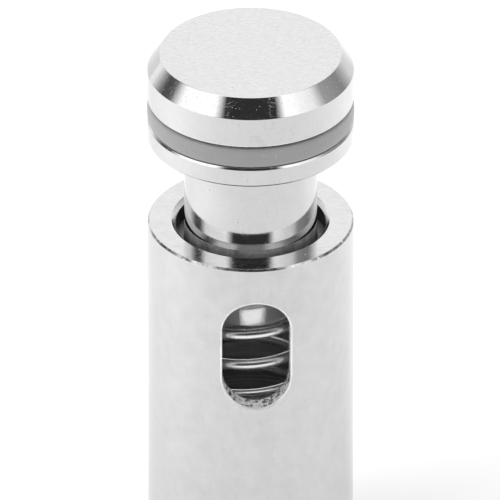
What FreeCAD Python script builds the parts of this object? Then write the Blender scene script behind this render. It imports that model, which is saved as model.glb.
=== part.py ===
import FreeCAD, Part
import math
import os
import re
import Sketcher

# A spring cord lock. Millimetres, +Z up the barrel's axis, origin at the centre of its flat bottom.
# The slot runs through the barrel along Y, and -Y is the front. The plunger is drawn released.
sizes = {
    # barrel
    "BarrelDiameter": 12.0,
    "BarrelLength": 21.9,
    "BoreDiameter": 9.8,
    "MouthDiameter": 8.74,
    "LipThickness": 1.15,
    "MouthChamfer": 0.26,
    "TopEdgeChamfer": 0.12,
    "BottomEdgeChamfer": 0.3,
    "SlotWidth": 3.95,
    "SlotHeight": 7.0,
    "SlotDrop": 5.87,
    "SlotRim": 0.13,
    # base plug
    "PlugThickness": 2.0,
    "PlugChamfer": 0.2,
    "PilotDiameter": 7.2,
    "PilotHeight": 1.2,
    "PilotChamfer": 0.4,
    # plunger stem
    "HeadGap": 5.54,
    "NeckDiameter": 7.74,
    "LandDiameter": 9.7,
    "LandLength": 1.6,
    "LipClearance": 0.03,
    "NoseTopDiameter": 6.12,
    "NoseTipDiameter": 5.38,
    "NoseTipDrop": 5.75,
    "NoseTipChamfer": 0.06,
    "CordHoleDiameter": 2.9,
    "CordHoleDrop": 1.95,
    "SpigotDiameter": 4.0,
    "SpigotLength": 3.4,
    "SpigotChamfer": 0.3,
    # button head
    "HeadDiameter": 12.0,
    "HeadHeight": 5.56,
    "HeadChamferWidth": 0.72,
    "HeadChamferHeight": 1.07,
    "BandHeight": 1.83,
    "GrooveHeight": 1.44,
    "GrooveDepth": 0.95,
    "RimChamfer": 0.1,
    "SocketDepth": 3.6,
    # grip ring
    "RingHeight": 1.26,
    "RingSeat": 0.02,
    "RingProud": 0.02,
    "RingShoulder": 0.25,
    # spring
    "WireDiameter": 0.6,
    "CoilDiameter": 8.3,
    "CoilPitch": 2.03,
    "EndCoilPitch": 0.62,
    "FrontCoilDrop": 5.38,
    "OpenCoils": 7,
    "TopEndPitch": 2.862,
    "TopEndTurn": 0.58,
}

doc = FreeCAD.newDocument("CordLock")
sheet = doc.addObject("Spreadsheet::Sheet", "Sizes")
for row, (name, value) in enumerate(sizes.items(), start=1):
    sheet.set(f"A{row}", name)
    sheet.set(f"B{row}", str(value))
    sheet.setAlias(f"B{row}", name)
doc.recompute()

# heights that several pieces share, as expressions of the sheet's sizes
headBase = "BarrelLength + HeadGap"
grooveBase = f"{headBase} + HeadHeight - HeadChamferHeight - BandHeight - GrooveHeight"
landTop = "BarrelLength - LipThickness - LipClearance"
landBase = f"{landTop} - LandLength"
noseTip = "BarrelLength - NoseTipDrop"
slotMiddle = "BarrelLength - SlotDrop"


def bound(expression):
    """The expression with each size's name pointing at its cell in the sheet."""
    return re.sub(r"[A-Z]\w+", lambda found: "Sizes." + found.group(), expression)


def new_body(name):
    body = doc.addObject("PartDesign::Body", name)
    body.Label = name
    return body


def front_sketch(body, name):
    """A sketch on the body's own XZ plane: its X is the radius and its Y is the height."""
    sketch = body.newObject("Sketcher::SketchObject", name)
    plane = next(item for item in body.Origin.OriginFeatures if item.Role == "XZ_Plane")
    sketch.AttachmentSupport = [(plane, "")]
    sketch.MapMode = "FlatFace"
    return sketch


def constrain(sketch, *terms, drawn=1.0):
    """Add one constraint. A text as the last term is an expression that drives it, from a drawn value."""
    if isinstance(terms[-1], str):
        index = sketch.addConstraint(Sketcher.Constraint(*terms[:-1], drawn))
        sketch.setExpression(f"Constraints[{index}]", bound(terms[-1]))
    else:
        sketch.addConstraint(Sketcher.Constraint(*terms))


def turned(name, outline):
    """A body turned round Z from an outline: a list of (radius, height) expressions."""
    body = new_body(name)
    sketch = front_sketch(body, name + "_outline")
    count = len(outline)
    spots = [(math.cos(2 * math.pi * i / count), math.sin(2 * math.pi * i / count)) for i in range(count)]
    corners = [FreeCAD.Vector(10 + 5 * x, 10 + 5 * y, 0) for x, y in spots]
    for index in range(count):
        sketch.addGeometry(Part.LineSegment(corners[index], corners[(index + 1) % count]), False)
    for index, (radius, height) in enumerate(outline):
        constrain(sketch, "Coincident", index - 1 if index else count - 1, 2, index, 1)
        if radius == "0":
            constrain(sketch, "PointOnObject", index, 1, -2)
        else:
            constrain(sketch, "DistanceX", -1, 1, index, 1, radius)
        if height == "0":
            constrain(sketch, "PointOnObject", index, 1, -1)
        else:
            constrain(sketch, "DistanceY", -1, 1, index, 1, height)
    turn = body.newObject("PartDesign::Revolution", name + "_turn")
    turn.Profile = sketch
    turn.ReferenceAxis = (sketch, ["V_Axis"])
    turn.Angle = 360
    doc.recompute()
    return body


def cut_through(body, sketch):
    """Cut a sketch on the front plane right through the body, both ways."""
    before = body.Shape.Volume
    pocket = body.newObject("PartDesign::Pocket", sketch.Name + "_cut")
    pocket.Profile = sketch
    pocket.Type = "ThroughAll"
    pocket.SideType = "Symmetric"
    doc.recompute()
    if body.Shape.Volume >= before:
        raise RuntimeError(sketch.Name + " cut nothing")
    return pocket


def make_barrel():
    """A tube with a lip round its mouth and an obround slot across it."""
    body = turned("barrel", [
        ("BoreDiameter / 2", "0"),
        ("BarrelDiameter / 2 - BottomEdgeChamfer", "0"),
        ("BarrelDiameter / 2", "BottomEdgeChamfer"),
        ("BarrelDiameter / 2", "BarrelLength - TopEdgeChamfer"),
        ("BarrelDiameter / 2 - TopEdgeChamfer", "BarrelLength"),
        ("MouthDiameter / 2 + MouthChamfer", "BarrelLength"),
        ("MouthDiameter / 2", "BarrelLength - MouthChamfer"),
        ("MouthDiameter / 2", "BarrelLength - LipThickness"),
        ("BoreDiameter / 2", "BarrelLength - LipThickness"),
    ])
    slot = front_sketch(body, "barrel_slot")
    middle = sizes["BarrelLength"] - sizes["SlotDrop"]
    radius = sizes["SlotWidth"] / 2
    reach = (sizes["SlotHeight"] - sizes["SlotWidth"]) / 2
    for side in (1, -1):
        centre = FreeCAD.Vector(0, middle + side * reach, 0)
        circle = Part.Circle(centre, FreeCAD.Vector(0, 0, 1), radius)
        start = 0 if side > 0 else math.pi
        slot.addGeometry(Part.ArcOfCircle(circle, start, start + math.pi), False)
    for side in (1, -1):
        low = FreeCAD.Vector(side * radius, middle - reach, 0)
        high = FreeCAD.Vector(side * radius, middle + reach, 0)
        slot.addGeometry(Part.LineSegment(low, high), False)
    # arcs 0 (top) and 1 (bottom), sides 2 (right) and 3 (left)
    constrain(slot, "Tangent", 0, 1, 2, 2)
    constrain(slot, "Tangent", 0, 2, 3, 2)
    constrain(slot, "Tangent", 1, 1, 3, 1)
    constrain(slot, "Tangent", 1, 2, 2, 1)
    constrain(slot, "Equal", 0, 1)
    constrain(slot, "PointOnObject", 0, 3, -2)
    constrain(slot, "PointOnObject", 1, 3, -2)
    # drawn at their true values, so that the solver never passes through a flipped slot
    upperCentre = f"{slotMiddle} + (SlotHeight - SlotWidth) / 2"
    lowerCentre = f"{slotMiddle} - (SlotHeight - SlotWidth) / 2"
    constrain(slot, "Radius", 0, "SlotWidth / 2", drawn=radius)
    constrain(slot, "DistanceY", -1, 1, 0, 3, upperCentre, drawn=middle + reach)
    constrain(slot, "DistanceY", -1, 1, 1, 3, lowerCentre, drawn=middle - reach)
    cut = cut_through(body, slot)
    rim = body.newObject("PartDesign::Fillet", "barrel_slot_rim")
    rim.Base = (cut, slot_edges(cut.Shape))
    rim.setExpression("Radius", bound("SlotRim"))
    return body


def slot_edges(shape):
    """Names of the slot's edges on the barrel's outside."""
    outside = sizes["BarrelDiameter"] / 2
    base = sizes["BarrelLength"] - sizes["SlotDrop"] - sizes["SlotHeight"] / 2
    names = []
    for index, edge in enumerate(shape.Edges, start=1):
        points = edge.discretize(5)
        on_wall = all(abs(math.hypot(p.x, p.y) - outside) < 0.001 for p in points)
        beside_slot = all(abs(p.x) < sizes["SlotWidth"] and base - 1 < p.z < base + 1 + sizes["SlotHeight"]
                          for p in points)
        if on_wall and beside_slot:
            names.append(f"Edge{index}")
    return names


def make_base_plug():
    """A round plug pressed into the barrel's lower end, with a pilot that centres the spring."""
    return turned("base_plug", [
        ("0", "0"),
        ("BoreDiameter / 2 - PlugChamfer", "0"),
        ("BoreDiameter / 2", "PlugChamfer"),
        ("BoreDiameter / 2", "PlugThickness"),
        ("PilotDiameter / 2", "PlugThickness"),
        ("PilotDiameter / 2", "PlugThickness + PilotHeight - PilotChamfer"),
        ("PilotDiameter / 2 - PilotChamfer", "PlugThickness + PilotHeight"),
        ("0", "PlugThickness + PilotHeight"),
    ])


def make_plunger_stem():
    """Spigot, neck, guide land and tapered nose in one turned piece, with the cord hole across it."""
    body = turned("plunger_stem", [
        ("0", noseTip),
        ("NoseTipDiameter / 2 - NoseTipChamfer", noseTip),
        ("NoseTipDiameter / 2", f"{noseTip} + NoseTipChamfer"),
        ("NoseTopDiameter / 2", landBase),
        ("LandDiameter / 2", landBase),
        ("LandDiameter / 2", landTop),
        ("NeckDiameter / 2", landTop),
        ("NeckDiameter / 2", headBase),
        ("SpigotDiameter / 2", headBase),
        ("SpigotDiameter / 2", f"{headBase} + SpigotLength - SpigotChamfer"),
        ("SpigotDiameter / 2 - SpigotChamfer", f"{headBase} + SpigotLength"),
        ("0", f"{headBase} + SpigotLength"),
    ])
    hole = front_sketch(body, "stem_cord_hole")
    centre = FreeCAD.Vector(0, sizes["BarrelLength"] - sizes["CordHoleDrop"], 0)
    circle = Part.Circle(centre, FreeCAD.Vector(0, 0, 1), sizes["CordHoleDiameter"] / 2)
    hole.addGeometry(circle, False)
    constrain(hole, "PointOnObject", 0, 3, -2)
    constrain(hole, "DistanceY", -1, 1, 0, 3, "BarrelLength - CordHoleDrop")
    constrain(hole, "Radius", 0, "CordHoleDiameter / 2")
    cut_through(body, hole)
    return body


def make_button_head():
    """The push button: a broad chamfer, a groove for the grip ring and a blind socket below."""
    return turned("button_head", [
        ("SpigotDiameter / 2", headBase),
        ("HeadDiameter / 2 - RimChamfer", headBase),
        ("HeadDiameter / 2", f"{headBase} + RimChamfer"),
        ("HeadDiameter / 2", f"{grooveBase} - RimChamfer"),
        ("HeadDiameter / 2 - RimChamfer", grooveBase),
        ("HeadDiameter / 2 - GrooveDepth", grooveBase),
        ("HeadDiameter / 2 - GrooveDepth", f"{grooveBase} + GrooveHeight"),
        ("HeadDiameter / 2 - RimChamfer", f"{grooveBase} + GrooveHeight"),
        ("HeadDiameter / 2", f"{grooveBase} + GrooveHeight + RimChamfer"),
        ("HeadDiameter / 2", f"{headBase} + HeadHeight - HeadChamferHeight"),
        ("HeadDiameter / 2 - HeadChamferWidth", f"{headBase} + HeadHeight"),
        ("0", f"{headBase} + HeadHeight"),
        ("0", f"{headBase} + SocketDepth"),
        ("SpigotDiameter / 2", f"{headBase} + SocketDepth"),
    ])


def make_grip_ring():
    """The band low in the head's groove, with rounded shoulders and a gap above it."""
    ringBase = f"{grooveBase} + RingSeat"
    body = turned("grip_ring", [
        ("HeadDiameter / 2 - GrooveDepth", ringBase),
        ("HeadDiameter / 2 + RingProud", ringBase),
        ("HeadDiameter / 2 + RingProud", f"{ringBase} + RingHeight"),
        ("HeadDiameter / 2 - GrooveDepth", f"{ringBase} + RingHeight"),
    ])
    outside = sizes["HeadDiameter"] / 2 + sizes["RingProud"]
    band = body.Tip
    edges = [f"Edge{index}" for index, edge in enumerate(band.Shape.Edges, start=1)
             if edge.BoundBox.ZLength < 0.001 and edge.BoundBox.XLength > 2 * outside - 0.001]
    shoulder = body.newObject("PartDesign::Fillet", "grip_ring_shoulder")
    shoulder.Base = (band, edges)
    shoulder.setExpression("Radius", bound("RingShoulder"))
    return body


def make_spring():
    """A right-hand spring: a closed coil on the plug, open coils, and an end that rises to the land."""
    body = new_body("spring")
    start = "PlugThickness + WireDiameter / 2"
    openStart = f"{start} + EndCoilPitch"
    topStart = f"{openStart} + OpenCoils * CoilPitch"
    stages = [
        ("spring_end_coil", start, "EndCoilPitch", "1"),
        ("spring_coils", openStart, "CoilPitch", "OpenCoils"),
        ("spring_top_end", topStart, "TopEndPitch", "TopEndTurn"),
    ]
    for name, height, pitch, turns in stages:
        section = front_sketch(body, name + "_section")
        centre = FreeCAD.Vector(sizes["CoilDiameter"] / 2, sizes["PlugThickness"], 0)
        circle = Part.Circle(centre, FreeCAD.Vector(0, 0, 1), sizes["WireDiameter"] / 2)
        section.addGeometry(circle, False)
        constrain(section, "DistanceX", -1, 1, 0, 3, "CoilDiameter / 2")
        constrain(section, "DistanceY", -1, 1, 0, 3, height)
        constrain(section, "Radius", 0, "WireDiameter / 2")
        doc.recompute()
        coil = body.newObject("PartDesign::AdditiveHelix", name)
        coil.Profile = section
        coil.ReferenceAxis = (section, ["V_Axis"])
        coil.Mode = "pitch-turns-angle"
        coil.setExpression("Pitch", bound(pitch))
        coil.setExpression("Turns", bound(turns))
        doc.recompute()
    # turned about Z so that a coil crosses the front at FrontCoilDrop below the barrel's top
    wire = sizes["PlugThickness"] + sizes["WireDiameter"] / 2 + sizes["EndCoilPitch"]
    turnsToFront = (sizes["BarrelLength"] - sizes["FrontCoilDrop"] - wire) / sizes["CoilPitch"]
    angle = 270 - 360 * turnsToFront
    turn = FreeCAD.Rotation(FreeCAD.Vector(0, 0, 1), angle)
    body.Placement = FreeCAD.Placement(FreeCAD.Vector(0, 0, 0), turn)
    return body


pieces = [
    make_barrel(),
    make_base_plug(),
    make_plunger_stem(),
    make_button_head(),
    make_grip_ring(),
    make_spring(),
]
doc.recompute()

for item in doc.Objects:
    if {"Invalid", "Error"} & set(item.State):
        raise RuntimeError(f"{item.Name} failed: {item.State}")
for piece in pieces:
    if piece.Shape.isNull() or not piece.Shape.isValid():
        raise RuntimeError(piece.Label + " has no valid shape")

os.makedirs("parts", exist_ok=True)
for piece in pieces:
    piece.Shape.exportStep(f"parts/{piece.Label}.step")
    box = piece.Shape.BoundBox
    print(piece.Label, len(piece.Shape.Solids), round(piece.Shape.Volume, 2),
          [round(v, 2) for v in (box.XLength, box.YLength, box.ZMin, box.ZMax)])
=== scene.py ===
import math

import bmesh
import bpy
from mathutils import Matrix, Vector


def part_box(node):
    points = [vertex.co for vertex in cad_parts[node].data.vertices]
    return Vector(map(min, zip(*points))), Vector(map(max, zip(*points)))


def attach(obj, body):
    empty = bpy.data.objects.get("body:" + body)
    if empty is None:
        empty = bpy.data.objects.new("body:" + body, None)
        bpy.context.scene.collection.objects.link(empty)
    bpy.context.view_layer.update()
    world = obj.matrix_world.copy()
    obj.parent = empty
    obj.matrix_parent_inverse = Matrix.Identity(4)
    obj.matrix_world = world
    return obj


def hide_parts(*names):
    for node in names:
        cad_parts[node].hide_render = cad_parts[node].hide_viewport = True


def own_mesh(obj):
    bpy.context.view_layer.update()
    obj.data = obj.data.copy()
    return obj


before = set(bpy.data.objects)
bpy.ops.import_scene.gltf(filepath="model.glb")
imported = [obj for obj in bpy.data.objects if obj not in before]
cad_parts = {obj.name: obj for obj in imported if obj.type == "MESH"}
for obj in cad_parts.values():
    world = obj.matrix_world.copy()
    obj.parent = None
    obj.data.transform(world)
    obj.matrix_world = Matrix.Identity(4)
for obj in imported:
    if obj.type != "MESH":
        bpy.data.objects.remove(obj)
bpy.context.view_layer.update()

# A turned metal cord lock: barrel, base plug, spring, plunger stem, button head and grip ring.
# The dictionaries hold millimetres, and each piece's overall size and place come from its CAD node.
mm = 0.001
turnSteps = 256  # faces round every turned piece
weldDistance = 0.0004  # vertices closer than this are one
near = 0.01  # play when faces are sorted by their place


def sizeOf(node):
    # radius, bottom and top of a CAD node that is round about Z, in millimetres
    low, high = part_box(node)
    return (high.x - low.x) / 2 / mm, low.z / mm, high.z / mm


barrelRadius, barrelBase, barrelTop = sizeOf("barrel")
plugRadius, plugBase, plugTop = sizeOf("base_plug")
landRadius, noseTip, spigotTop = sizeOf("plunger_stem")
headRadius, headBase, headTop = sizeOf("button_head")
ringRadius, ringBase, ringTop = sizeOf("grip_ring")
springRadius, springBase, springTop = sizeOf("spring")


def link(tree, source, target):
    tree.links.new(source, target)


def mathNode(tree, operation, first, second=None, third=None):
    node = tree.nodes.new("ShaderNodeMath")
    node.operation = operation
    for socket, value in zip(node.inputs, (first, second, third)):
        if value is None:
            continue
        if isinstance(value, (int, float)):
            socket.default_value = value
        else:
            link(tree, value, socket)
    return node.outputs[0]


def noiseNode(tree, vector, scale, detail=2.0, roughness=0.5):
    node = tree.nodes.new("ShaderNodeTexNoise")
    node.inputs["Scale"].default_value = scale
    node.inputs["Detail"].default_value = detail
    node.inputs["Roughness"].default_value = roughness
    link(tree, vector, node.inputs["Vector"])
    return node.outputs["Fac"]


def mappedNode(tree, vector, scale=(1, 1, 1), turn=(0, 0, 0), move=(0, 0, 0)):
    node = tree.nodes.new("ShaderNodeMapping")
    node.inputs["Location"].default_value = move
    node.inputs["Rotation"].default_value = turn
    node.inputs["Scale"].default_value = scale
    link(tree, vector, node.inputs["Vector"])
    return node.outputs[0]


def rangeNode(tree, value, low, high, newLow, newHigh):
    node = tree.nodes.new("ShaderNodeMapRange")
    node.inputs["From Min"].default_value = low
    node.inputs["From Max"].default_value = high
    node.inputs["To Min"].default_value = newLow
    node.inputs["To Max"].default_value = newHigh
    link(tree, value, node.inputs["Value"])
    return node.outputs[0]


def newFinish(name):
    made = bpy.data.materials.new(name)
    made.use_nodes = True
    tree = made.node_tree
    shader = tree.nodes["Principled BSDF"]
    place = tree.nodes.new("ShaderNodeTexCoord").outputs["Object"]
    return made, tree, shader, place


def addBump(tree, shader, height, distance):
    # distance is in millimetres
    bump = tree.nodes.new("ShaderNodeBump")
    bump.inputs["Strength"].default_value = 1.0
    bump.inputs["Distance"].default_value = distance * mm
    link(tree, height, bump.inputs["Height"])
    link(tree, bump.outputs[0], shader.inputs["Normal"])


noiseSpan = (0.3, 0.7)  # what a noise node really gives, between its rare peaks
roundScale = 60.0  # how slowly tool marks change round the axis, per metre
girth = 36.0  # one turn's length when strokes are laid round a piece
scratchTurns = [(0.3, 0.2, 0.4), (0.1, 1.3, 1.5), (1.2, 0.4, 2.6), (2.1, 0.7, 0.9)]


def turningMarks(tree, place, spacing):
    # fine rings left by the tool: they change along the axis and hardly at all round it
    stretched = mappedNode(tree, place, scale=(roundScale, roundScale, 1000 / spacing))
    return noiseNode(tree, stretched, 1.0, 3.0, 0.6)


def faceMarks(tree, place, spacing):
    # the same rings on a flat end, spaced by the distance from the axis
    parts = tree.nodes.new("ShaderNodeSeparateXYZ")
    link(tree, place, parts.inputs[0])
    square = mathNode(tree, "ADD", mathNode(tree, "POWER", parts.outputs[0], 2.0),
                      mathNode(tree, "POWER", parts.outputs[1], 2.0))
    reach = mathNode(tree, "SQRT", square)
    joined = tree.nodes.new("ShaderNodeCombineXYZ")
    link(tree, mathNode(tree, "MULTIPLY", reach, 1000 / spacing), joined.inputs[0])
    link(tree, mathNode(tree, "MULTIPLY", parts.outputs[0], roundScale), joined.inputs[1])
    return noiseNode(tree, joined.outputs[0], 1.0, 2.0, 0.6)


def hairScratches(tree, place, width, length, turns, share):
    # short thin scratches lying several ways: 1 on a scratch, 0 off it
    total = None
    for index, turn in enumerate(turns):
        # each way reads its own part of the noise
        stretched = mappedNode(tree, place, scale=(1000 / length, 1000 / width, 1000 / length),
                               turn=turn, move=(index * 7.3, index * 3.1, index * 5.7))
        fac = noiseNode(tree, stretched, 1.0, 1.0, 0.4)
        mark = rangeNode(tree, fac, 1 - share, 1 - share + 0.05, 0.0, 1.0)
        total = mark if total is None else mathNode(tree, "MAXIMUM", total, mark)
    return total


def angleRound(tree, place):
    # the angle round Z, in turns
    parts = tree.nodes.new("ShaderNodeSeparateXYZ")
    link(tree, place, parts.inputs[0])
    angle = mathNode(tree, "ARCTAN2", parts.outputs[1], parts.outputs[0])
    return mathNode(tree, "MULTIPLY", angle, 0.5 / math.pi)


def streaksRound(tree, place, count):
    # fine streaks along the axis, changing only with the angle round it
    joined = tree.nodes.new("ShaderNodeCombineXYZ")
    link(tree, mathNode(tree, "MULTIPLY", angleRound(tree, place), count), joined.inputs[0])
    return noiseNode(tree, joined.outputs[0], 1.0, 3.0, 0.7)


def specks(tree, place, spacing, size, share):
    # small round pits in the plating: 1 inside one
    cells = tree.nodes.new("ShaderNodeTexVoronoi")
    cells.inputs["Scale"].default_value = 1000 / spacing
    link(tree, place, cells.inputs["Vector"])
    near = rangeNode(tree, cells.outputs["Distance"], size * 0.6, size, 1.0, 0.0)
    chosen = tree.nodes.new("ShaderNodeSeparateColor")
    link(tree, cells.outputs["Color"], chosen.inputs[0])
    return mathNode(tree, "MULTIPLY", near, mathNode(tree, "LESS_THAN", chosen.outputs[0], share))


# What every metal starts from. Depths and spacings are in millimetres, the rest are shares.
plainMetal = {
    "colour": 0.64, "rough": 0.08, "patch": 0.05, "patchSize": 0.55, "roughPatch": 0.05,
    "stroke": 0.0, "strokeSize": 0.07, "strokeLength": 1.4,
    "scuff": 0.06, "scuffWidth": 0.035, "scuffLength": 0.55, "scuffShare": 0.38, "scuffRough": 0.15,
    "scuffDepth": 0.0004, "ringSpacing": 0.05, "ringDepth": 0.00008, "flat": False,
    "streak": 0.0, "streakCount": 160, "fineCount": 49.6, "streakRough": 0.0,
    "pit": 0.0, "pitSpacing": 0.32, "pitSize": 0.16, "pitTone": -0.35, "pitRough": 0.30, "pitDepth": 0.004,
    "metallic": 1.0, "tint": (1.0, 1.0, 1.004),
}


def metal(name, changes):
    spec = {**plainMetal, **changes}
    made, tree, shader, place = newFinish(name)
    shader.inputs["Metallic"].default_value = spec["metallic"]
    patches = noiseNode(tree, place, 1000 / spec["patchSize"] * 0.5, 5.0, 0.65)
    rings = (faceMarks if spec["flat"] else turningMarks)(tree, place, spec["ringSpacing"])
    scuffs = hairScratches(tree, place, spec["scuffWidth"], spec["scuffLength"], scratchTurns,
                           spec["scuffShare"])

    # brightness: soft patches, strokes round the axis, darker scuffs and pits
    tone = rangeNode(tree, patches, *noiseSpan, 1 - spec["patch"], 1 + spec["patch"])
    tone = mathNode(tree, "MULTIPLY_ADD", scuffs, -spec["scuff"], tone)
    if spec["stroke"]:
        # strokes follow the turning, so they are long round the axis and short along it
        joined = tree.nodes.new("ShaderNodeCombineXYZ")
        parts = tree.nodes.new("ShaderNodeSeparateXYZ")
        link(tree, place, parts.inputs[0])
        along = mathNode(tree, "MULTIPLY", angleRound(tree, place), girth / spec["strokeLength"])
        link(tree, along, joined.inputs[0])
        across = mathNode(tree, "MULTIPLY", parts.outputs[2], 1000 / spec["strokeSize"])
        link(tree, across, joined.inputs[1])
        strokes = noiseNode(tree, joined.outputs[0], 1.0, 2.0, 0.6)
        tone = mathNode(tree, "MULTIPLY", tone,
                        rangeNode(tree, strokes, 0.25, 0.75, 1 - spec["stroke"], 1 + spec["stroke"]))
    rough = rangeNode(tree, patches, *noiseSpan, spec["rough"] - spec["roughPatch"] / 2,
                      spec["rough"] + spec["roughPatch"] / 2)
    rough = mathNode(tree, "MULTIPLY_ADD", scuffs, spec["scuffRough"], rough)
    height = mathNode(tree, "MULTIPLY", rings, spec["ringDepth"])
    height = mathNode(tree, "MULTIPLY_ADD", scuffs, -spec["scuffDepth"], height)
    if spec["streak"] or spec["streakRough"]:
        streaks = streaksRound(tree, place, spec["streakCount"])
        height = mathNode(tree, "MULTIPLY_ADD", streaks, spec["streak"], height)
        fine = rangeNode(tree, streaksRound(tree, place, spec["fineCount"]), 0.52, 0.72, 0.0, 1.0)
        rough = mathNode(tree, "MULTIPLY_ADD", fine, spec["streakRough"], rough)
    if spec["pit"]:
        pits = specks(tree, place, spec["pitSpacing"], spec["pitSize"], spec["pit"])
        tone = mathNode(tree, "MULTIPLY_ADD", pits, spec["pitTone"], tone)
        rough = mathNode(tree, "MULTIPLY_ADD", pits, spec["pitRough"], rough)
        height = mathNode(tree, "MULTIPLY_ADD", pits, -spec["pitDepth"], height)
    grey = mathNode(tree, "MULTIPLY", tone, spec["colour"])
    joined = tree.nodes.new("ShaderNodeCombineColor")
    for socket, tint in zip(joined.inputs, spec["tint"]):
        link(tree, mathNode(tree, "MULTIPLY", grey, tint), socket)
    link(tree, joined.outputs[0], shader.inputs["Base Color"])
    link(tree, rough, shader.inputs["Roughness"])
    addBump(tree, shader, height, 1.0)
    return made


milled = {"colour": 1.0, "tornColour": 0.12, "metallic": 0.3, "rough": 0.36, "grain": (1000, 620, 1000),
          "tearSize": 0.20, "tearStart": 0.43, "tearEnd": 0.50, "tearDepth": 0.12}


def milledMetal(name):
    # the slot's cut wall: pale metal with dark tears
    made, tree, shader, place = newFinish(name)
    shader.inputs["Metallic"].default_value = milled["metallic"]
    shader.inputs["Roughness"].default_value = milled["rough"]
    stretched = mappedNode(tree, place, scale=milled["grain"])
    tears = noiseNode(tree, stretched, 1 / milled["tearSize"], 3.0, 0.6)
    joined = tree.nodes.new("ShaderNodeCombineColor")
    tone = rangeNode(tree, tears, milled["tearStart"], milled["tearEnd"], milled["tornColour"],
                     milled["colour"])
    for socket in joined.inputs:
        link(tree, tone, socket)
    link(tree, joined.outputs[0], shader.inputs["Base Color"])
    addBump(tree, shader, tears, milled["tearDepth"])
    return made


bored = {"dark": 0.56, "pale": 1.04, "metallic": 0.5, "smooth": 0.37, "rough": 0.57,
         "ringSpacing": 0.16, "ringDepth": 0.004}


def boredMetal(name):
    # the drilled inside, duller, with coarse tool rings. Its colour is painted paler than the outer steel,
    # above white in the pale rings, as painted light on the dark inside.
    made, tree, shader, place = newFinish(name)
    rings = turningMarks(tree, place, bored["ringSpacing"])
    joined = tree.nodes.new("ShaderNodeCombineColor")
    tone = rangeNode(tree, rings, *noiseSpan, bored["dark"], bored["pale"])
    for socket in joined.inputs:
        link(tree, tone, socket)
    link(tree, joined.outputs[0], shader.inputs["Base Color"])
    shader.inputs["Metallic"].default_value = bored["metallic"]
    link(tree, rangeNode(tree, rings, *noiseSpan, bored["smooth"], bored["rough"]),
         shader.inputs["Roughness"])
    addBump(tree, shader, rings, bored["ringDepth"])
    return made


arc = {"step": 15, "longest": 0.45, "support": 0.03, "supportFrom": 2.5}  # step is in degrees


def roundedOutline(corners):
    # corners are (radius, height, rounding), with True after them where the edge gets a painted highlight.
    # Each is rounded by an arc, with a support point on each side that keeps the long faces' shading flat.
    # A point's last item says it is on an arc painted bright as a highlight.
    points = []
    count = len(corners)
    for index, (radius, height, rounding, *bright) in enumerate(corners):
        here = Vector((radius, height))
        before = Vector(corners[index - 1][:2]) if index else None
        after = Vector(corners[index + 1][:2]) if index + 1 < count else None
        if before is None or after is None or rounding == 0:
            points.append((here.x, here.y, False))
            continue
        toBefore, toAfter = (before - here).normalized(), (after - here).normalized()
        half = toBefore.angle(toAfter) / 2
        sides = (before - here).length, (after - here).length
        cut = min(rounding / math.tan(half), min(sides) * arc["longest"])
        arcRadius = cut * math.tan(half)
        centre = here + (toBefore + toAfter).normalized() * (arcRadius / math.sin(half))
        first, last = here + toBefore * cut - centre, here + toAfter * cut - centre
        sweep = first.angle(last)
        side = 1 if first.x * last.y - first.y * last.x > 0 else -1
        outer = cut + arc["support"]
        if sides[0] > outer * arc["supportFrom"]:
            spot = here + toBefore * outer
            points.append((spot.x, spot.y, False))
        steps = max(2, round(math.degrees(sweep) / arc["step"]))
        for step in range(steps + 1):
            turned = sweep * step / steps * side
            cosine, sine = math.cos(turned), math.sin(turned)
            spot = centre + Vector((first.x * cosine - first.y * sine, first.x * sine + first.y * cosine))
            points.append((spot.x, spot.y, bool(bright)))
        if sides[1] > outer * arc["supportFrom"]:
            spot = here + toAfter * outer
            points.append((spot.x, spot.y, False))
    return points


def divided(outline, longest):
    # extra points on the long parts of an outline
    points = [outline[0]]
    for radius, height, bright in outline[1:]:
        lastRadius, lastHeight, _ = points[-1]
        wide, tall = radius - lastRadius, height - lastHeight
        parts = max(1, math.ceil(math.hypot(wide, tall) / longest))
        for part in range(1, parts + 1):
            share = part / parts
            points.append((lastRadius + wide * share, lastHeight + tall * share, bright and part == parts))
    return points


def addRing(mesh, radius, height):
    # one ring of vertices, or a single vertex where the outline meets the axis
    if radius < 1e-6:
        return [mesh.verts.new((0, 0, height * mm))] * turnSteps
    loop = []
    for step in range(turnSteps):
        angle = 2 * math.pi * step / turnSteps
        x, y = radius * mm * math.cos(angle), radius * mm * math.sin(angle)
        loop.append(mesh.verts.new((x, y, height * mm)))
    return loop


def joinRings(mesh, first, second, finish=0):
    for step in range(turnSteps):
        after = (step + 1) % turnSteps
        corners = [first[step], first[after], second[after], second[step]]
        kept = list(dict.fromkeys(corners))
        if len(kept) > 2:
            mesh.faces.new(kept).material_index = finish


def addTurned(mesh, outline, closed=False, edge=0):
    # edge is the finish of the rounded corners marked bright, a pale colour painted on as a highlight
    rings = [addRing(mesh, radius, height) for radius, height, _ in outline]
    arcs = [onArc for _, _, onArc in outline]
    for index in range(len(rings) - 1):
        paintedHighlight = arcs[index] and arcs[index + 1]
        joinRings(mesh, rings[index], rings[index + 1], edge if paintedHighlight else 0)
    if closed:
        joinRings(mesh, rings[-1], rings[0])


def weld(mesh):
    # one closed skin with its faces outwards
    bmesh.ops.remove_doubles(mesh, verts=mesh.verts[:], dist=weldDistance * mm)
    bmesh.ops.recalc_face_normals(mesh, faces=mesh.faces[:])


def finishPiece(mesh, name, materials, pick=None):
    # weld, shade smooth and give each face its finish
    weld(mesh)
    data = bpy.data.meshes.new(name)
    for face in mesh.faces:
        face.smooth = True
        if pick and face.material_index == 0:
            centre = face.calc_center_median()
            face.material_index = pick(math.hypot(centre.x, centre.y) / mm, centre.z / mm)
    mesh.to_mesh(data)
    mesh.free()
    for material in materials:
        data.materials.append(material)
    piece = bpy.data.objects.new(name, data)
    bpy.context.scene.collection.objects.link(piece)
    return piece


def settle(piece, body, node):
    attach(piece, body)
    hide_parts(node)
    print(piece.name, "made:", len(piece.data.polygons), "faces")


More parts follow.
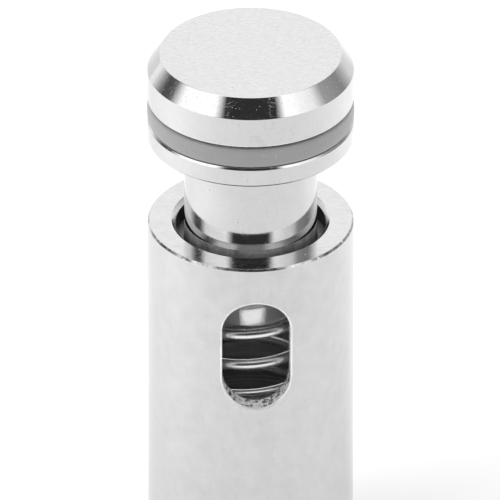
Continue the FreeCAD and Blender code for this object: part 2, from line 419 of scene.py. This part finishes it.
# The barrel: a tube with a lip at its mouth and a slot right through it. Its walls are grids, with a
# window of finer loops about the slot. A drop is measured down from the barrel's top.
barrel = {
    "boreRadius": 4.90, "mouthRadius": 4.37, "lip": 1.15, "mouthChamfer": 0.26, "mouthRounding": 0.05,
    "topEdgeWidth": 0.10, "topEdgeHeight": 0.13, "topEdgeRounding": 0.015, "bottomEdge": 0.30,
    "edgeRounding": 0.03, "innerFoot": 0.6, "outerFoot": 0.9, "overWindow": 0.4, "boreFrom": 0.2,
    "slotWidth": 3.95, "slotHeight": 7.0, "slotDrop": 5.87, "slotRim": 0.13, "slotInnerRim": 0.05,
    "rimSteps": 4, "innerRimSteps": 3, "cutSteps": 6,
    "windowSteps": 28, "windowRows": 56, "windowMargin": 0.85,
    "windowShares": (0.35, 0.65, 0.85, 0.95, 0.985, 1.0),
}
barrelFinishes = [
    metal("barrel_satin", {
        "rough": 0.20, "roughPatch": 0.10, "patch": 0.055, "patchSize": 0.50, "stroke": 0.03,
        "ringDepth": 0.0002, "scuff": 0.03, "scuffLength": 0.9, "scuffShare": 0.34, "scuffRough": 0.03,
        "scuffDepth": 0.0001}),
    metal("barrel_top_polish", {
        "colour": 0.67, "flat": True, "rough": 0.065, "roughPatch": 0.03, "streak": 0.00015,
        "streakRough": 0.08, "pit": 0.16, "pitTone": 0.25}),
    milledMetal("slot_milled"),
    boredMetal("bore_drilled"),
    # the inside of the lip, painted near black as shade, with lighter pits
    metal("lip_painted_shade", {
        "colour": 0.09, "rough": 0.5, "patch": 0.5, "patchSize": 0.25, "pit": 0.3, "pitSpacing": 0.22,
        "pitSize": 0.3, "pitTone": 3.0}),
    # the slot's outer rim, painted pale as a highlight
    metal("slot_rim_painted_highlight", {"colour": 0.97, "rough": 0.42, "patch": 0.03, "scuff": 0.1}),
    # the top's outer edge: darker and patchy, with lighter pits
    metal("top_edge_dark_patchy", {
        "colour": 0.42, "rough": 0.20, "patch": 0.9, "patchSize": 0.5, "pit": 0.3, "pitSpacing": 0.3,
        "pitSize": 0.4, "pitTone": 0.9}),
]


def slotReach(direction, extra):
    # distance from the slot's middle to its outline, grown by extra, along a direction in X and Z
    half = barrel["slotWidth"] / 2 + extra
    straight = (barrel["slotHeight"] - barrel["slotWidth"]) / 2
    across, up = abs(direction.x), abs(direction.y)
    if across > 1e-9 and half / across * up <= straight:
        return half / across
    # the ray leaves through a round end, centred at straight above the middle
    return up * straight + math.sqrt(max(half * half - (across * straight) ** 2, 0))


def windowEdge(radius, low, high):
    # points round the window's rim, as (X, Z), one for each wall vertex there
    steps, rows = barrel["windowSteps"], barrel["windowRows"]
    angles = [2 * math.pi * step / turnSteps for step in range(-steps, steps + 1)]
    across = [radius * math.sin(angle) for angle in angles]
    heights = [low + (high - low) * row / rows for row in range(rows + 1)]
    edge = [(x, low) for x in across]
    edge += [(across[-1], z) for z in heights[1:]]
    edge += [(x, high) for x in reversed(across[:-1])]
    edge += [(across[0], z) for z in reversed(heights[1:-1])]
    return edge


def slotLoop(mesh, edge, extra, depth, side, radius):
    # a loop of vertices round the slot: outline grown by extra, sunk by depth from a wall radius
    middle = barrelTop - barrel["slotDrop"]
    loop = []
    for x, z in edge:
        direction = Vector((x, z - middle)).normalized()
        reach = slotReach(direction, extra)
        px, pz = direction.x * reach, middle + direction.y * reach
        loop.append(addWallVertex(mesh, px, pz, radius, depth, side))
    return loop


def addWallVertex(mesh, x, z, radius, depth, side):
    y = -(math.sqrt(radius * radius - x * x) - depth)
    return mesh.verts.new((side * x * mm, side * y * mm, z * mm))


def joinLoops(mesh, first, second, finish=0):
    for index in range(len(first)):
        after = (index + 1) % len(first)
        face = mesh.faces.new((first[index], first[after], second[after], second[index]))
        face.material_index = finish


def addWindow(mesh, radius, low, high, side, rim):
    # the part of a round wall about the slot, between the window's rim and the slot's outline
    middle = barrelTop - barrel["slotDrop"]
    edge = windowEdge(radius, low, high)
    previous = [addWallVertex(mesh, x, z, radius, 0, side) for x, z in edge]
    for share in barrel["windowShares"]:
        loop = []
        for x, z in edge:
            out = Vector((x, z - middle))
            reach = slotReach(out.normalized(), rim)
            spot = out + (out.normalized() * reach - out) * share
            loop.append(addWallVertex(mesh, spot.x, middle + spot.y, radius, 0, side))
        joinLoops(mesh, previous, loop)
        previous = loop
    return edge, previous


def addWall(mesh, radius, low, high, windowLow, windowHigh):
    # a round wall from low to high, left open at the front and back windows
    rows, steps = barrel["windowRows"], barrel["windowSteps"]
    heights = [windowLow + (windowHigh - windowLow) * row / rows for row in range(rows + 1)]
    rings = [addRing(mesh, radius, height) for height in [low, *heights, high]]
    front = turnSteps * 3 // 4
    openSteps = {(front + step) % turnSteps for step in range(-steps, steps)}
    openSteps |= {(step + turnSteps // 2) % turnSteps for step in openSteps}
    for row, (first, second) in enumerate(zip(rings, rings[1:])):
        for step in range(turnSteps):
            if 0 < row <= rows and step in openSteps:
                continue
            after = (step + 1) % turnSteps
            mesh.faces.new((first[step], first[after], second[after], second[step]))


def addRim(mesh, previous, edge, radius, rim, steps, sink, side, finish):
    # a rolled rim from the wall's face into the slot. sink is 1 to roll inwards and -1 to roll outwards.
    for step in range(1, steps + 1):
        turn = math.pi / 2 * step / steps
        grown, sunk = rim * (1 - math.sin(turn)), sink * rim * (1 - math.cos(turn))
        loop = slotLoop(mesh, edge, grown, sunk, side, radius)
        joinLoops(mesh, previous, loop, finish)
        previous = loop
    return previous


def addSlot(mesh, windowLow, windowHigh, side):
    # the slot's rim, cut wall and inner rim on one side of the barrel
    outerRim, innerRim, bore = barrel["slotRim"], barrel["slotInnerRim"], barrel["boreRadius"]
    edge, loop = addWindow(mesh, barrelRadius, windowLow, windowHigh, side, outerRim)
    # the outer rim takes the pale finish 5, a painted highlight
    outside = addRim(mesh, loop, edge, barrelRadius, outerRim, barrel["rimSteps"], 1, side, 5)
    edge, loop = addWindow(mesh, bore, windowLow, windowHigh, side, innerRim)
    inside = addRim(mesh, loop, edge, bore, innerRim, barrel["innerRimSteps"], -1, side, 0)
    # the cut wall joins the two rims. Their loops start at the same corner and have one count.
    last = outside
    for step in range(1, barrel["cutSteps"]):
        share = step / barrel["cutSteps"]
        loop = [mesh.verts.new(outer.co.lerp(inner.co, share)) for outer, inner in zip(outside, inside)]
        joinLoops(mesh, last, loop, finish=2)
        last = loop
    joinLoops(mesh, last, inside, finish=2)


def barrelFace(radius, height):
    # 0 outside, 1 polished top, 3 bore, 4 inside of the lip, painted near black as shade, 6 outer edge of
    # the top, darker and patchy
    inEdge = radius > barrelRadius - barrel["topEdgeWidth"] + near / 2
    if inEdge and height > barrelTop - barrel["topEdgeHeight"]:
        return 6
    if height > barrelTop - barrel["mouthChamfer"] and radius < barrelRadius - near:
        return 1
    if height > barrelTop - barrel["lip"] - near and radius < barrel["boreRadius"]:
        return 4
    return 3 if radius < barrel["boreRadius"] + near * 2 and height > barrel["boreFrom"] else 0


def makeBarrel():
    mesh = bmesh.new()
    bore, mouth, rounding = barrel["boreRadius"], barrel["mouthRadius"], barrel["edgeRounding"]
    middle = barrelTop - barrel["slotDrop"]
    windowLow = middle - barrel["slotHeight"] / 2 - barrel["windowMargin"]
    windowHigh = middle + barrel["slotHeight"] / 2 + barrel["windowMargin"]
    wallTop, lipBase = windowHigh + barrel["overWindow"], barrelTop - barrel["lip"]
    addTurned(mesh, roundedOutline([
        (barrelRadius, wallTop, 0),
        (barrelRadius, barrelTop - barrel["topEdgeHeight"], barrel["topEdgeRounding"]),
        (barrelRadius - barrel["topEdgeWidth"], barrelTop, barrel["topEdgeRounding"]),
        (mouth + barrel["mouthChamfer"], barrelTop, barrel["mouthRounding"]),
        (mouth, barrelTop - barrel["mouthChamfer"], rounding),
        (mouth, lipBase, rounding),
        (bore, lipBase, 0),
    ]))
    addTurned(mesh, roundedOutline([
        (bore, barrel["innerFoot"], 0),
        (bore, barrelBase, rounding),
        (barrelRadius - barrel["bottomEdge"], barrelBase, rounding),
        (barrelRadius, barrelBase + barrel["bottomEdge"], rounding),
        (barrelRadius, barrel["outerFoot"], 0),
    ]))
    addWall(mesh, barrelRadius, barrel["outerFoot"], wallTop, windowLow, windowHigh)
    addWall(mesh, bore, barrel["innerFoot"], lipBase, windowLow, windowHigh)
    for side in (1, -1):
        addSlot(mesh, windowLow, windowHigh, side)
    return finishPiece(mesh, "barrel_body", barrelFinishes, barrelFace)


settle(makeBarrel(), "barrel", "barrel")


# The plug pressed into the barrel's lower end.
plug = {"thickness": 2.0, "edge": 0.2, "pilotRadius": 3.6, "pilotEdge": 0.4, "rounding": 0.05}
plugFinish = metal("plug_turned", {"flat": True, "rough": 0.18, "ringDepth": 0.0004, "ringSpacing": 0.12})


def makePlug():
    mesh = bmesh.new()
    addTurned(mesh, roundedOutline([
        (0, plugBase, 0),
        (plugRadius - plug["edge"], plugBase, plug["rounding"]),
        (plugRadius, plugBase + plug["edge"], plug["rounding"]),
        (plugRadius, plug["thickness"], plug["rounding"]),
        (plug["pilotRadius"], plug["thickness"], plug["rounding"]),
        (plug["pilotRadius"], plugTop - plug["pilotEdge"], plug["rounding"]),
        (plug["pilotRadius"] - plug["pilotEdge"], plugTop, plug["rounding"]),
        (0, plugTop, 0),
    ]))
    return finishPiece(mesh, "base_plug_turned", [plugFinish])


settle(makePlug(), "barrel", "base_plug")


# The plunger's stem: a nose with the cord hole, a land that the lip catches, the neck and a spigot.
stem = {
    "neckRadius": 3.87, "landLength": 1.6, "lipGap": 0.03, "noseRootRadius": 3.06, "noseTipRadius": 2.69,
    "spigotRadius": 2.0, "spigotEdge": 0.3, "rounding": 0.05, "tipRounding": 0.07, "faceLength": 0.3,
    "noseLimit": 3.2, "landShade": 0.25,
    "holeRadius": 1.45, "holeDrop": 1.95, "drillReach": 5.5, "drillFaceLength": 0.5, "sharpAngle": 32,
}
# rounded edges marked True take this pale finish, a painted highlight: a thin bright line where the edge
# would catch the light
edgeFinish = metal("edge_painted_highlight", {"colour": 0.93, "rough": 0.16, "patch": 0.06, "scuff": 0.1})
stemFinishes = [
    metal("stem_polish", {
        "rough": 0.075, "roughPatch": 0.03, "patch": 0.04, "patchSize": 0.9, "stroke": 0.035,
        "pit": 0.015, "scuff": 0.025, "scuffRough": 0.03, "scuffDepth": 0.0001}),
    # the nose: polished, its colour raised well above the neck's as painted light, brightening its
    # reflection
    metal("nose_polish_painted_bright", {
        "colour": 0.97, "metallic": 0.7, "rough": 0.12, "scuff": 0.02, "scuffRough": 0.05,
        "stroke": 0.02}),
    metal("stem_foot", {
        "colour": 0.50, "metallic": 0.6, "rough": 0.5, "roughPatch": 0.2, "patch": 0.35,
        "patchSize": 0.3, "pit": 0.25, "pitTone": -0.8}),
    # the land and the neck just above it, under the lip: painted dark as shade
    metal("land_painted_shade", {"colour": 0.30, "rough": 0.45, "stroke": 0.1}),
    edgeFinish,
]
landTop = barrelTop - barrel["lip"] - stem["lipGap"]
landBase = landTop - stem["landLength"]


def stemFace(radius, height):
    # 0 neck, 1 nose, painted brighter as light, 2 the duller foot of the neck inside the barrel, 3 the
    # land, painted dark as shade
    if height < landBase + near * 2 and radius < stem["noseLimit"]:
        return 1
    if height < landTop + stem["landShade"]:
        return 3
    return 2 if height < barrelTop else 0


def makeDrill():
    # the cord hole's drill, laid along Y. Its short faces keep the cut's shading even.
    mesh = bmesh.new()
    radius, reach = stem["holeRadius"], stem["drillReach"]
    corners = [(0, -reach, False), (radius, -reach, False), (radius, reach, False), (0, reach, False)]
    addTurned(mesh, divided(corners, stem["drillFaceLength"]))
    weld(mesh)
    data = bpy.data.meshes.new("drill")
    mesh.to_mesh(data)
    mesh.free()
    drill = bpy.data.objects.new("drill", data)
    bpy.context.scene.collection.objects.link(drill)
    drill.rotation_euler = (math.pi / 2, 0, 0)
    drill.location = (0, 0, (barrelTop - stem["holeDrop"]) * mm)
    return drill


def evaluatedMesh(piece):
    # the piece's mesh with its modifiers applied, which are then gone
    bpy.context.view_layer.update()
    made = bpy.data.meshes.new_from_object(piece.evaluated_get(bpy.context.evaluated_depsgraph_get()))
    piece.modifiers.clear()
    piece.data = made
    return made


def makeStem():
    mesh = bmesh.new()
    rounding = stem["rounding"]
    addTurned(mesh, divided(roundedOutline([
        (0, noseTip, 0),
        (stem["noseTipRadius"], noseTip, stem["tipRounding"], True),
        (stem["noseRootRadius"], landBase, rounding),
        (landRadius, landBase, rounding),
        (landRadius, landTop, rounding),
        (stem["neckRadius"], landTop, rounding),
        (stem["neckRadius"], headBase, 0),
        (stem["spigotRadius"], headBase, 0),
        (stem["spigotRadius"], spigotTop - stem["spigotEdge"], rounding),
        (stem["spigotRadius"] - stem["spigotEdge"], spigotTop, rounding),
        (0, spigotTop, 0),
    ]), stem["faceLength"]), edge=4)
    piece = finishPiece(mesh, "stem_turned", stemFinishes, stemFace)
    drill = makeDrill()
    cut = piece.modifiers.new("cord_hole", "BOOLEAN")
    cut.object = drill
    cut.operation = "DIFFERENCE"
    cut.solver = "EXACT"
    made = evaluatedMesh(piece)
    bpy.data.objects.remove(drill)
    made.shade_smooth()
    made.set_sharp_from_angle(angle=math.radians(stem["sharpAngle"]))
    return piece


settle(makeStem(), "plunger", "plunger_stem")


# The button's head, with a groove for the grip ring and a socket for the spigot.
head = {
    "chamferWidth": 0.72, "chamferHeight": 1.07, "band": 1.83, "groove": 1.44, "grooveDepth": 0.95,
    "rimWidth": 0.09, "rimHeight": 0.12, "rounding": 0.05, "rimRounding": 0.02, "grooveRounding": 0.03,
    "brightRounding": 0.07, "socketDepth": 3.6, "socketRadius": 2.0, "faceDepth": 0.002,
}
headFinishes = [
    metal("head_polish", {
        "colour": 0.66, "rough": 0.07, "patch": 0.03, "scuffShare": 0.32, "streak": 0.0006,
        "streakRough": 0.20, "pit": 0.30, "pitSpacing": 0.2, "pitSize": 0.14, "pitTone": -0.15}),
    metal("head_face_scuffed", {
        "colour": 0.69, "flat": True, "rough": 0.16, "patch": 0.035, "patchSize": 0.16, "scuff": 0.07,
        "scuffWidth": 0.06, "scuffLength": 0.35, "scuffShare": 0.42, "scuffRough": 0.10,
        "scuffDepth": 0.0008, "pit": 0.04}),
    edgeFinish,
]


def headFace(radius, height):
    # 0 sides and chamfer, 1 the flat top
    return 1 if height > headTop - head["faceDepth"] else 0


def makeHead():
    mesh = bmesh.new()
    rounding, rimWidth, rimHeight = head["rounding"], head["rimWidth"], head["rimHeight"]
    rimRounding, grooveRounding = head["rimRounding"], head["grooveRounding"]
    bandTop = headTop - head["chamferHeight"]
    grooveTop = bandTop - head["band"]
    grooveBase = grooveTop - head["groove"]
    grooveRadius = headRadius - head["grooveDepth"]
    socketRadius, socketTop = head["socketRadius"], headBase + head["socketDepth"]
    addTurned(mesh, roundedOutline([
        (socketRadius, headBase, 0),
        (headRadius - rimWidth, headBase, rimRounding),
        (headRadius, headBase + rimHeight, rimRounding),
        (headRadius, grooveBase - rimHeight, rimRounding),
        (headRadius - rimWidth, grooveBase, rimRounding),
        (grooveRadius, grooveBase, grooveRounding),
        (grooveRadius, grooveTop, grooveRounding),
        (headRadius, grooveTop, head["brightRounding"], True),
        (headRadius, bandTop, rounding),
        (headRadius - head["chamferWidth"], headTop, rounding),
        (0, headTop, 0),
        (0, socketTop, 0),
        (socketRadius, socketTop, 0),
    ]), closed=True, edge=2)
    return finishPiece(mesh, "head_turned", headFinishes, headFace)


settle(makeHead(), "plunger", "button_head")


# The grip ring that lies in the head's groove, and its rubber.
rubber = {
    "dark": 0.335, "pale": 0.385, "smooth": 0.35, "rough": 0.50, "specular": 0.45, "grainSize": 0.09,
    "grainDepth": 0.004, "lineSpacing": 0.12, "dustScale": 900.0, "blendSpan": (0.35, 0.65),
    "scuffWidth": 0.05, "scuffLength": 0.9, "scuffShare": 0.29, "scuffTone": 1.6,
    "scuffTurns": [(0.05, 0.1, 0.0), (0.1, 0.0, 1.5)],
}
ring = {"crown": 0.07, "crownSteps": 12, "shoulder": 0.16, "rollFrom": 0.72}


def gripRubber(name):
    # smooth grey rubber with a faint moulded grain, fine lines round it and some dust
    made, tree, shader, place = newFinish(name)
    grain = noiseNode(tree, place, 1000 / rubber["grainSize"], 3.0)
    lines = turningMarks(tree, place, rubber["lineSpacing"])
    dust = noiseNode(tree, place, rubber["dustScale"], 4.0, 0.7)
    mix = tree.nodes.new("ShaderNodeMix")
    mix.data_type = "RGBA"
    mix.clamp_factor = False
    mix.inputs["A"].default_value = (rubber["dark"],) * 3 + (1,)
    mix.inputs["B"].default_value = (rubber["pale"],) * 3 + (1,)
    blend = mathNode(tree, "MULTIPLY_ADD", lines, 0.5, mathNode(tree, "MULTIPLY", dust, 0.5))
    scuffs = hairScratches(tree, place, rubber["scuffWidth"], rubber["scuffLength"], rubber["scuffTurns"],
                           rubber["scuffShare"])
    blend = rangeNode(tree, blend, *rubber["blendSpan"], 0.0, 1.0)
    link(tree, mathNode(tree, "MULTIPLY_ADD", scuffs, rubber["scuffTone"], blend), mix.inputs["Factor"])
    link(tree, mix.outputs["Result"], shader.inputs["Base Color"])
    link(tree, rangeNode(tree, dust, *noiseSpan, rubber["smooth"], rubber["rough"]),
         shader.inputs["Roughness"])
    shader.inputs["Specular IOR Level"].default_value = rubber["specular"]
    addBump(tree, shader, grain, rubber["grainDepth"])
    return made


def makeRing():
    mesh = bmesh.new()
    inner = headRadius - head["grooveDepth"]
    half = (ringTop - ringBase) / 2
    middle = ringBase + half
    outline = [(inner, ringBase, False)]
    # the outside is a shallow crown that rolls over at both edges
    for step in range(-ring["crownSteps"], ring["crownSteps"] + 1):
        share = step / ring["crownSteps"]
        roll = max(abs(share) - ring["rollFrom"], 0) / (1 - ring["rollFrom"])
        sunk = ring["crown"] * share * share + ring["shoulder"] * (1 - math.sqrt(max(1 - roll * roll, 0)))
        outline.append((ringRadius - sunk, middle + half * share, False))
    outline.append((inner, ringTop, False))
    addTurned(mesh, outline, closed=True)
    return finishPiece(mesh, "grip_ring_rubber", [gripRubber("ring_rubber")])


settle(makeRing(), "plunger", "grip_ring")


# The spring and its wire.
wire = {"colour": 0.86, "smooth": 0.19, "rough": 0.30, "lineScale": (300, 300, 9000), "lineDepth": 0.0004}
spring = {
    "wireRadius": 0.30, "pitch": 2.03, "endPitch": 0.62, "topPitch": 2.862, "openCoils": 7,
    "topTurn": 0.58, "frontDrop": 5.38, "stepsPerTurn": 96, "wireSides": 24,
}


def drawnWire(name):
    # bright wire with fine drawing lines
    made, tree, shader, place = newFinish(name)
    shader.inputs["Base Color"].default_value = (wire["colour"],) * 3 + (1,)
    shader.inputs["Metallic"].default_value = 1.0
    lines = noiseNode(tree, mappedNode(tree, place, scale=wire["lineScale"]), 1.0, 2.0)
    rough = rangeNode(tree, lines, *noiseSpan, wire["smooth"], wire["rough"])
    link(tree, rough, shader.inputs["Roughness"])
    addBump(tree, shader, lines, wire["lineDepth"])
    return made


def springTree():
    # a wire wound round Z, right-handed: one closed coil, open coils, then an end that rises to the land
    tree = bpy.data.node_groups.new("wound_spring", "GeometryNodeTree")
    tree.interface.new_socket("Geometry", in_out="OUTPUT", socket_type="NodeSocketGeometry")
    names = ["Coil Radius", "Wire Radius", "Pitch", "End Pitch", "Top Pitch", "Open Coils", "Turns",
             "Start Height", "Start Angle"]
    for name in names:
        tree.interface.new_socket(name, in_out="INPUT", socket_type="NodeSocketFloat")
    tree.interface.new_socket("Steps", in_out="INPUT", socket_type="NodeSocketInt")
    tree.interface.new_socket("Sides", in_out="INPUT", socket_type="NodeSocketInt")
    tree.interface.new_socket("Finish", in_out="INPUT", socket_type="NodeSocketMaterial")
    made = tree.nodes.new
    entry, result = made("NodeGroupInput"), made("NodeGroupOutput")
    line = made("GeometryNodeCurvePrimitiveLine")
    count = made("GeometryNodeResampleCurve")
    factor = made("GeometryNodeSplineParameter")
    place = made("GeometryNodeSetPosition")
    where = made("ShaderNodeCombineXYZ")
    section = made("GeometryNodeCurvePrimitiveCircle")
    sweep = made("GeometryNodeCurveToMesh")
    smooth = made("GeometryNodeSetShadeSmooth")
    realize = made("GeometryNodeRealizeInstances")
    finish = made("GeometryNodeSetMaterial")

    turn = mathNode(tree, "MULTIPLY", factor.outputs["Factor"], entry.outputs["Turns"])
    angle = mathNode(tree, "MULTIPLY_ADD", turn, 2 * math.pi, entry.outputs["Start Angle"])
    for function, socket in zip(("COSINE", "SINE"), where.inputs):
        reach = mathNode(tree, "MULTIPLY", mathNode(tree, function, angle), entry.outputs["Coil Radius"])
        link(tree, reach, socket)
    firstTurn = mathNode(tree, "MINIMUM", turn, 1.0)
    closedPart = mathNode(tree, "MULTIPLY", firstTurn, entry.outputs["End Pitch"])
    afterEnd = mathNode(tree, "MAXIMUM", mathNode(tree, "SUBTRACT", turn, 1.0), 0.0)
    openTurns = mathNode(tree, "MINIMUM", afterEnd, entry.outputs["Open Coils"])
    rise = mathNode(tree, "MULTIPLY_ADD", openTurns, entry.outputs["Pitch"], closedPart)
    topTurns = mathNode(tree, "SUBTRACT", afterEnd, openTurns)
    rise = mathNode(tree, "MULTIPLY_ADD", topTurns, entry.outputs["Top Pitch"], rise)
    link(tree, mathNode(tree, "ADD", rise, entry.outputs["Start Height"]), where.inputs[2])

    link(tree, line.outputs["Curve"], count.inputs["Curve"])
    link(tree, entry.outputs["Steps"], count.inputs["Count"])
    link(tree, count.outputs["Curve"], place.inputs["Geometry"])
    link(tree, where.outputs[0], place.inputs["Position"])
    link(tree, entry.outputs["Sides"], section.inputs["Resolution"])
    link(tree, entry.outputs["Wire Radius"], section.inputs["Radius"])
    link(tree, place.outputs["Geometry"], sweep.inputs["Curve"])
    link(tree, section.outputs["Curve"], sweep.inputs["Profile Curve"])
    sweep.inputs["Fill Caps"].default_value = True
    link(tree, sweep.outputs["Mesh"], smooth.inputs["Geometry"])
    link(tree, smooth.outputs["Geometry"], realize.inputs["Geometry"])
    link(tree, realize.outputs["Geometry"], finish.inputs["Geometry"])
    link(tree, entry.outputs["Finish"], finish.inputs["Material"])
    link(tree, finish.outputs["Geometry"], result.inputs[0])
    return tree


def makeSpring():
    coilRadius = springRadius - spring["wireRadius"]
    start = springBase + spring["wireRadius"]
    turnsToFront = (barrelTop - spring["frontDrop"] - start - spring["endPitch"]) / spring["pitch"]
    turns = 1 + spring["openCoils"] + spring["topTurn"]
    values = {
        "Coil Radius": coilRadius * mm, "Wire Radius": spring["wireRadius"] * mm,
        "Pitch": spring["pitch"] * mm, "End Pitch": spring["endPitch"] * mm,
        "Top Pitch": spring["topPitch"] * mm, "Open Coils": spring["openCoils"], "Turns": turns,
        "Start Height": start * mm,
        # a coil crosses the front, at -90 degrees, frontDrop below the barrel's top
        "Start Angle": -math.pi / 2 - 2 * math.pi * turnsToFront,
        "Steps": round(turns * spring["stepsPerTurn"]), "Sides": spring["wireSides"],
        "Finish": drawnWire("spring_wire"),
    }
    piece = bpy.data.objects.new("spring_coil", bpy.data.meshes.new("spring_coil"))
    bpy.context.scene.collection.objects.link(piece)
    tree = springTree()
    winding = piece.modifiers.new("winding", "NODES")
    winding.node_group = tree
    for item in tree.interface.items_tree:
        if item.name in values:
            winding[item.identifier] = values[item.name]
    evaluatedMesh(piece)
    return piece


springPiece = makeSpring()
settle(springPiece, "spring", "spring")
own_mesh(springPiece)


studio = {
    "floorHalf": 0.7, "floorColour": 0.98, "floorRough": 0.9,
    "top": 1.25, "topStart": 52, "topBlend": 16,
    # azimuth from the camera's side in degrees, brightness of the room there
    "room": [(-180, 1.2), (-130, 1.2), (-118, 0.45), (-110, 0.10), (-98, 0.12), (-84, 1.5), (-43, 1.7),
             (-31, 0.04), (31, 0.04), (42, 1.7), (60, 1.4), (78, 1.2), (90, 0.45), (118, 0.33), (135, 0.8),
             (150, 1.2), (180, 1.2)],
    "brightest": 2.0,
}


def makeFloor():
    half = studio["floorHalf"]
    data = bpy.data.meshes.new("floor")
    corners = [(-half, -half, 0), (half, -half, 0), (half, half, 0), (-half, half, 0)]
    data.from_pydata(corners, [], [(0, 1, 2, 3)])
    floor = bpy.data.objects.new("floor", data)
    bpy.context.scene.collection.objects.link(floor)
    paper, _, shader, _ = newFinish("floor_paper")
    shader.inputs["Base Color"].default_value = (studio["floorColour"],) * 3 + (1,)
    shader.inputs["Roughness"].default_value = studio["floorRough"]
    data.materials.append(paper)


def makeRoom():
    # a white room with soft panels at both sides and a dark gap where the camera stands
    world = bpy.data.worlds.new("studio")
    bpy.context.scene.world = world
    world.use_nodes = True
    tree = world.node_tree
    tree.nodes.clear()
    output = tree.nodes.new("ShaderNodeOutputWorld")
    background = tree.nodes.new("ShaderNodeBackground")
    background.inputs["Color"].default_value = (1, 1, 1, 1)
    direction = tree.nodes.new("ShaderNodeTexCoord").outputs["Generated"]
    parts = tree.nodes.new("ShaderNodeSeparateXYZ")
    link(tree, direction, parts.inputs[0])
    towards = mathNode(tree, "MULTIPLY", parts.outputs["Y"], -1.0)
    azimuth = mathNode(tree, "ARCTAN2", parts.outputs["X"], towards)
    ramp = tree.nodes.new("ShaderNodeValToRGB")
    turned = mathNode(tree, "MULTIPLY_ADD", azimuth, 0.5 / math.pi, 0.5 - camera["azimuth"] / 360)
    link(tree, mathNode(tree, "FRACT", turned), ramp.inputs[0])
    stops = ramp.color_ramp.elements
    while len(stops) < len(studio["room"]):
        stops.new(0.5)
    for stop, (angle, level) in zip(stops, studio["room"]):
        stop.position = (angle + 180) / 360
        stop.color = (level / studio["brightest"],) * 3 + (1,)
    elevation = mathNode(tree, "MULTIPLY", mathNode(tree, "ARCSINE", parts.outputs["Z"]), 180 / math.pi)
    low = studio["topStart"]
    share = tree.nodes.new("ShaderNodeMapRange")
    share.interpolation_type = "SMOOTHSTEP"
    share.inputs["From Min"].default_value = low
    share.inputs["From Max"].default_value = low + studio["topBlend"]
    link(tree, elevation, share.inputs["Value"])
    sides = mathNode(tree, "MULTIPLY", ramp.outputs[0], studio["brightest"])
    sides = mathNode(tree, "MULTIPLY", sides, mathNode(tree, "SUBTRACT", 1.0, share.outputs[0]))
    total = mathNode(tree, "MULTIPLY_ADD", share.outputs[0], studio["top"], sides)
    link(tree, total, background.inputs["Strength"])

    # plain white behind the object, whatever the panels do
    plain = tree.nodes.new("ShaderNodeBackground")
    plain.inputs["Color"].default_value = (1, 1, 1, 1)
    path = tree.nodes.new("ShaderNodeLightPath")
    pick = tree.nodes.new("ShaderNodeMixShader")
    link(tree, path.outputs["Is Camera Ray"], pick.inputs["Fac"])
    link(tree, background.outputs[0], pick.inputs[1])
    link(tree, plain.outputs[0], pick.inputs[2])
    link(tree, pick.outputs[0], output.inputs[0])


# metres, watts and degrees
fillLight = {"power": 0.02, "size": 0.06, "aside": 0.075, "height": 0.06, "back": 0.03, "skew": 0.02,
             "tilt": 12}


def makeFill():
    # a small panel low on each side, which brightens the floor there
    for side in (-1, 1):
        data = bpy.data.lights.new("fill", "AREA")
        data.energy = fillLight["power"]
        data.size = fillLight["size"]
        fill = bpy.data.objects.new("fill", data)
        bpy.context.scene.collection.objects.link(fill)
        fill.location = (side * fillLight["aside"], fillLight["back"] + fillLight["skew"] * side,
                         fillLight["height"])
        fill.rotation_euler = (0, math.radians(fillLight["tilt"] * side), 0)
        fill.visible_glossy = False
        fill.visible_camera = False


# A long lens far away. The aim is below the barrel's top, in millimetres, and the clips are in metres.
camera = {"azimuth": -3.3, "elevation": 30.3, "distance": 1213.8, "lens": 1500, "sensor": 36,
          "aimDrop": 2.15, "aimAside": -0.04, "nearClip": 0.01, "farClip": 10}


def makeCamera():
    data = bpy.data.cameras.new("camera")
    eye = bpy.data.objects.new("camera", data)
    bpy.context.scene.collection.objects.link(eye)
    bpy.context.scene.camera = eye
    turn, tilt = math.radians(camera["azimuth"]), math.radians(camera["elevation"])
    back = Vector((math.sin(turn) * math.cos(tilt), -math.cos(turn) * math.cos(tilt), math.sin(tilt)))
    aim = Vector((camera["aimAside"] * mm, 0, (barrelTop - camera["aimDrop"]) * mm))
    eye.location = aim + back * camera["distance"] * mm
    eye.rotation_euler = (-back).to_track_quat("-Z", "Y").to_euler()
    data.sensor_width = camera["sensor"]
    data.lens = camera["lens"]
    data.clip_start = camera["nearClip"]
    data.clip_end = camera["farClip"]


makeFloor()
makeRoom()
makeFill()
makeCamera()
bpy.context.scene.view_settings.view_transform = "Standard"
print("studio made")
